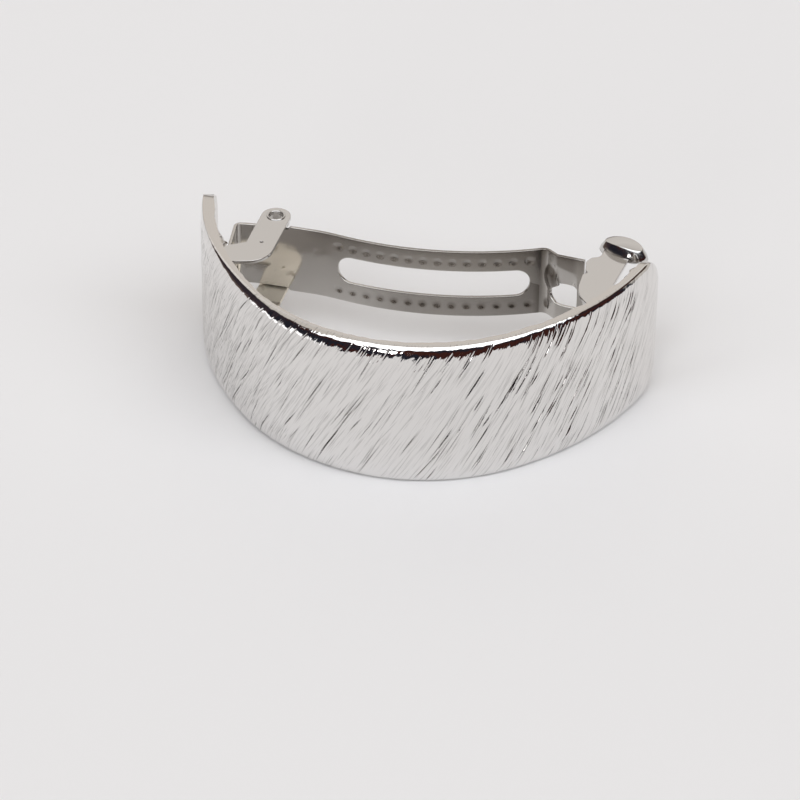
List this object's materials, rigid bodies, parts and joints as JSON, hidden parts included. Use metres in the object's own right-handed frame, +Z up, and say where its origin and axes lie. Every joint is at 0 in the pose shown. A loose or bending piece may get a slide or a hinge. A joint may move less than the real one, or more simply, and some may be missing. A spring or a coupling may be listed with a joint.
{
  "type": "hair clip",
  "caption": "Half-round plated metal ponytail clip: a finely gouged curved plate with a hinged, slotted closing arm and a squeeze catch with domed finger pads",
  "frame": {"origin": "middle of the flat land on the plate's lower long edge, where the clip stands", "axes": "+X along the clip towards the catch, +Y from the front of the plate back to the arm, +Z up"},
  "size_m": [0.063, 0.0393, 0.021],
  "materials": {
    "plated_plate": "bright silver-coloured plating over a finely gouged casting",
    "plated_sheet": "bright silver-coloured plating over pressed steel sheet"
  },
  "bodies": {
    "band": {"front_plate": "plated_plate", "hinge_bracket": "plated_sheet", "catch_bracket": "plated_sheet", "hinge_rivet_top": "plated_sheet", "hinge_rivet_bottom": "plated_sheet"},
    "arm": {"clip_arm": "plated_sheet"}
  },
  "joints": [
    {"name": "arm_hinge", "type": "hinge", "parent": "band", "child": "arm", "pos_m": [-0.02205, 0.03235, 0.0105], "axis": [0, 0, 1], "range_deg": [0, 90]}
  ]
}
